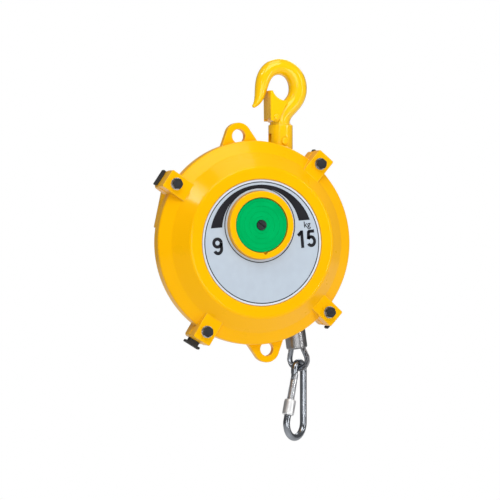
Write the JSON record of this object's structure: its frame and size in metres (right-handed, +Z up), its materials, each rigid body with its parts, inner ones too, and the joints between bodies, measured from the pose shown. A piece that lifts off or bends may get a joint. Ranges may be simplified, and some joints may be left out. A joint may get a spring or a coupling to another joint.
{
  "type": "spring tool balancer",
  "caption": "Round spring balancer with a swivelling safety hook above, a dial on its domed cover and a wire rope ending in a screw-lock snap hook.",
  "frame": {"origin": "inner top of the top hook's bowl, on the neck's swivel axis: the point that hangs on the rail", "axes": "+Z up and plumb along the swivel axis, -Y the way the dial faces, +X to the right seen from the dial's side; the housing rests tilted 8 degrees on its stop"},
  "size_m": [0.21, 0.0936, 0.3989],
  "materials": {
    "housing_paint": "gloss",
    "hook_paint": "gloss",
    "disc_green": "satin",
    "dial_metal": "satin",
    "black_steel": "satin",
    "black_rubber": "matte",
    "bright_zinc": "satin",
    "dark_steel": "polished",
    "rope_steel": "satin",
    "cast_grey": "as cast",
    "drum_alloy": "machined",
    "bronze": "machined",
    "nylon_black": "satin",
    "spring_steel": "blued"
  },
  "bodies": {
    "hook": {"top_hook": "hook_paint", "swivel_nut": "dark_steel", "thrust_washer": "bronze", "latch_rivet": "hook_paint", "latch_spring": "spring_steel"},
    "latch": {"safety_latch": "hook_paint"},
    "neck": {"hanger_neck": "hook_paint", "hanger_pin": "hook_paint", "pin_clip": "dark_steel"},
    "housing": {"front_cover": "housing_paint", "rear_housing": "housing_paint", "cover_bolts": "black_steel", "bolt_washers": "bright_zinc", "lug_bumpers": "black_rubber", "label_plate": "dial_metal", "main_shaft": "dark_steel", "shaft_nut": "bright_zinc", "end_disc": "disc_green", "disc_screw": "black_steel", "worm_bushes": "bronze", "worm_plug": "black_steel", "rope_guide": "nylon_black", "rubber_buffer": "black_rubber"},
    "drum": {"rope_drum": "drum_alloy", "rope_anchor": "dark_steel", "wound_rope": "rope_steel", "drum_bushes": "bronze"},
    "spring_case": {"spring_case": "drum_alloy", "case_lid": "dark_steel", "case_bush": "bronze", "mainspring": "spring_steel"},
    "worm": {"tension_worm": "dark_steel"},
    "rope_end": {"rope_run": "rope_steel", "rope_sleeve": "dark_steel", "rope_eye": "rope_steel", "thimble": "dark_steel"},
    "snap_hook": {"snap_hook_body": "dark_steel"},
    "gate": {"snap_gate": "bright_zinc", "gate_pin": "bright_zinc", "gate_spring": "spring_steel"},
    "lock": {"lock_sleeve": "bright_zinc"}
  },
  "joints": [
    {"name": "hook_swivel", "type": "hinge", "parent": "hook", "child": "neck", "pos_m": [0, 0, -0.0515], "axis": [0, 0, 1], "continuous": true},
    {"name": "latch_hinge", "type": "hinge", "parent": "hook", "child": "latch", "pos_m": [-0.008, 0, -0.0447], "axis": [0, 1, 0], "range_deg": [0, 30], "stiffness_Nm_per_rad": 0.05, "springref_deg": -34.38},
    {"name": "hanger_swing", "type": "hinge", "parent": "neck", "child": "housing", "pos_m": [0, 0, -0.0697], "axis": [0, 1, 0], "range_deg": [0, 16]},
    {"name": "rope_pull", "type": "slide", "parent": "housing", "child": "rope_end", "axis": [0.1392, 0, -0.9903], "range_m": [0, 1.3], "stiffness_N_per_m": 10, "springref_m": -11.8, "deforming": ["rope_run"]},
    {"name": "drum_turn", "type": "hinge", "parent": "housing", "child": "drum", "pos_m": [-0.04052, -0.02, -0.15719], "axis": [0, 1, 0], "range_deg": [0, 1590]},
    {"name": "case_turn", "type": "hinge", "parent": "housing", "child": "spring_case", "pos_m": [-0.04052, -0.02, -0.15719], "axis": [0, 1, 0], "range_deg": [0, 360]},
    {"name": "worm_turn", "type": "hinge", "parent": "housing", "child": "worm", "pos_m": [-0.11583, 0.013, -0.14118], "axis": [0.2079, 0, 0.9781], "range_deg": [-21600, 0]},
    {"name": "snap_hook_swing", "type": "hinge", "parent": "rope_end", "child": "snap_hook", "pos_m": [0.02081, 0.00073, -0.30806], "axis": [-0.565, 0.8251, 0], "range_deg": [-30, 30]},
    {"name": "gate_hinge", "type": "hinge", "parent": "snap_hook", "child": "gate", "pos_m": [0.01404, -0.00391, -0.31506], "axis": [0.565, -0.8251, 0], "range_deg": [0, 25], "stiffness_Nm_per_rad": 0.03, "springref_deg": -34.38},
    {"name": "lock_slide", "type": "slide", "parent": "gate", "child": "lock", "axis": [-0.2464, -0.1687, -0.9544], "range_m": [-0.012, 0.006]}
  ],
  "couplings": [
    {"joint": "drum_turn", "follows": "rope_pull", "rad_per_m": 21.29},
    {"joint": "worm_turn", "follows": "case_turn", "ratio": -60}
  ]
}
